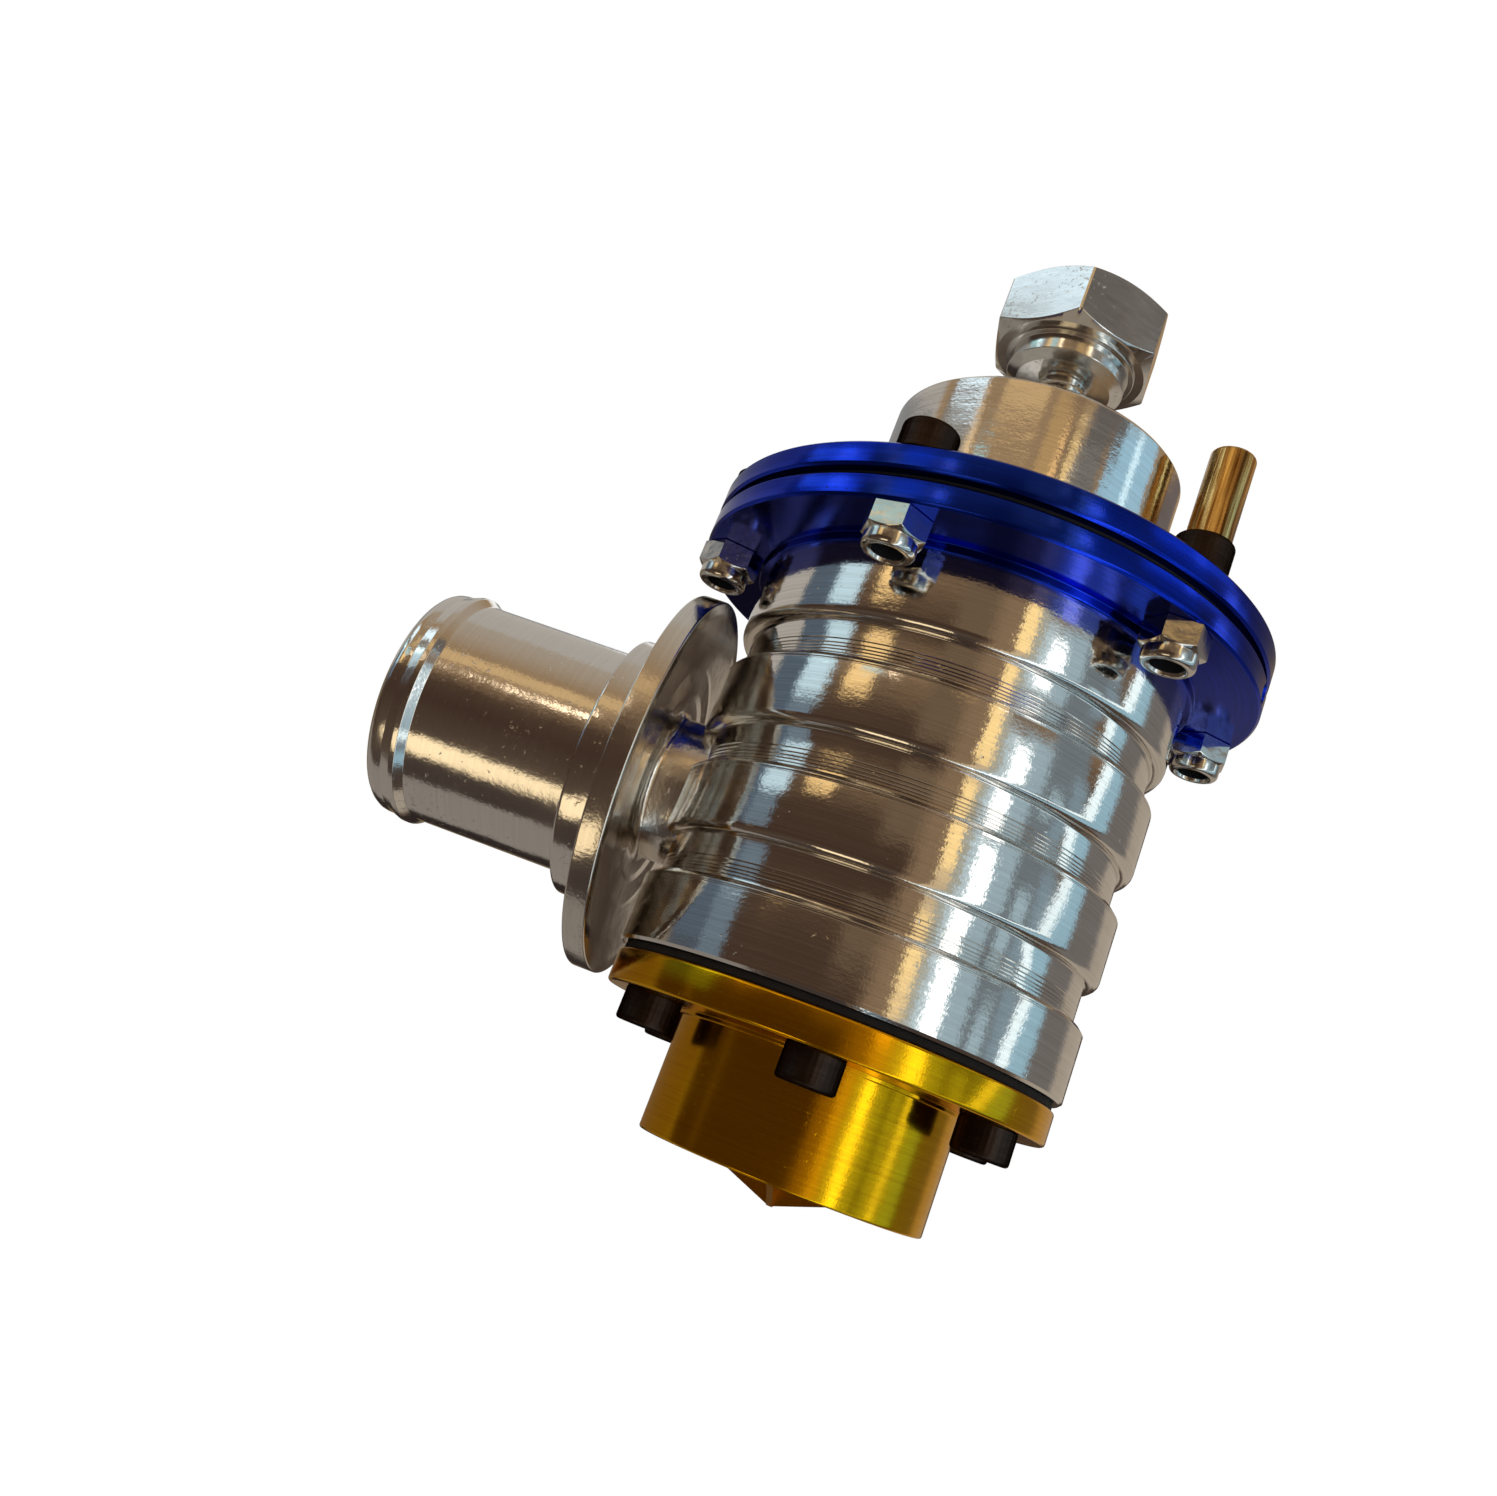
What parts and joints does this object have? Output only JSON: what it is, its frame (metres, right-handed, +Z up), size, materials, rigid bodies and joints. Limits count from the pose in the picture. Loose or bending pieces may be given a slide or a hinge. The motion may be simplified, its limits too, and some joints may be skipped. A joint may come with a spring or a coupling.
{
  "type": "blow off valve",
  "caption": "Diaphragm blow off valve with a grooved round body, clamped rings, spring cap with hex adjuster, flanged inlet and side outlet for a hose.",
  "frame": {"origin": "centre of the inlet tube's open end", "axes": "+Z up the valve's axis from the inlet tube to the adjuster, the hose outlet leaves along -X"},
  "size_m": [0.1055, 0.076, 0.1308],
  "materials": {
    "gold_anodised": "gloss",
    "polished_aluminium": "polished",
    "turned_aluminium": "satin",
    "blue_anodised": "gloss",
    "black_screws": "satin",
    "bright_nuts": "gloss",
    "ground_steel": "satin",
    "spring_steel": "satin",
    "brass": "satin",
    "bronze": "satin",
    "nylon": "matte",
    "rubber": "matte",
    "gasket": "matte"
  },
  "bodies": {
    "housing": {"inlet_flange": "gold_anodised", "inlet_gasket": "gasket", "inlet_screws": "black_screws", "body": "polished_aluminium", "stem_bush": "bronze", "stem_seal": "rubber", "lower_ring": "blue_anodised", "upper_ring": "blue_anodised", "ring_screws": "black_screws", "ring_nuts": "bright_nuts", "nut_inserts": "nylon", "diaphragm": "rubber", "cap": "polished_aluminium", "vacuum_nipple": "brass", "adjuster_seal": "rubber", "main_spring": "spring_steel", "outlet_horn": "polished_aluminium", "hose_adapter": "polished_aluminium"},
    "valve": {"cup": "turned_aluminium", "clamp_ring": "turned_aluminium", "stem": "ground_steel", "stem_washer": "ground_steel", "stem_nut": "bright_nuts", "poppet": "gold_anodised", "poppet_seal": "rubber"},
    "spring_seat": {"spring_seat": "turned_aluminium"},
    "adjuster": {"adjuster": "turned_aluminium"}
  },
  "joints": [
    {"name": "valve_stroke", "type": "slide", "parent": "housing", "child": "valve", "axis": [0, 0, 1], "range_m": [0, 0.008], "stiffness_N_per_m": 3000, "springref_m": -0.004, "deforming": ["main_spring", "diaphragm"]},
    {"name": "seat_travel", "type": "slide", "parent": "housing", "child": "spring_seat", "axis": [0, 0, 1], "range_m": [-0.0037, 0.0018], "deforming": ["main_spring"]},
    {"name": "adjuster_turn", "type": "hinge", "parent": "spring_seat", "child": "adjuster", "pos_m": [0, 0, 0.12], "axis": [0, 0, 1], "range_deg": [-1068, 521]}
  ],
  "couplings": [
    {"joint": "adjuster_turn", "follows": "seat_travel", "rad_per_m": 5026.5}
  ]
}
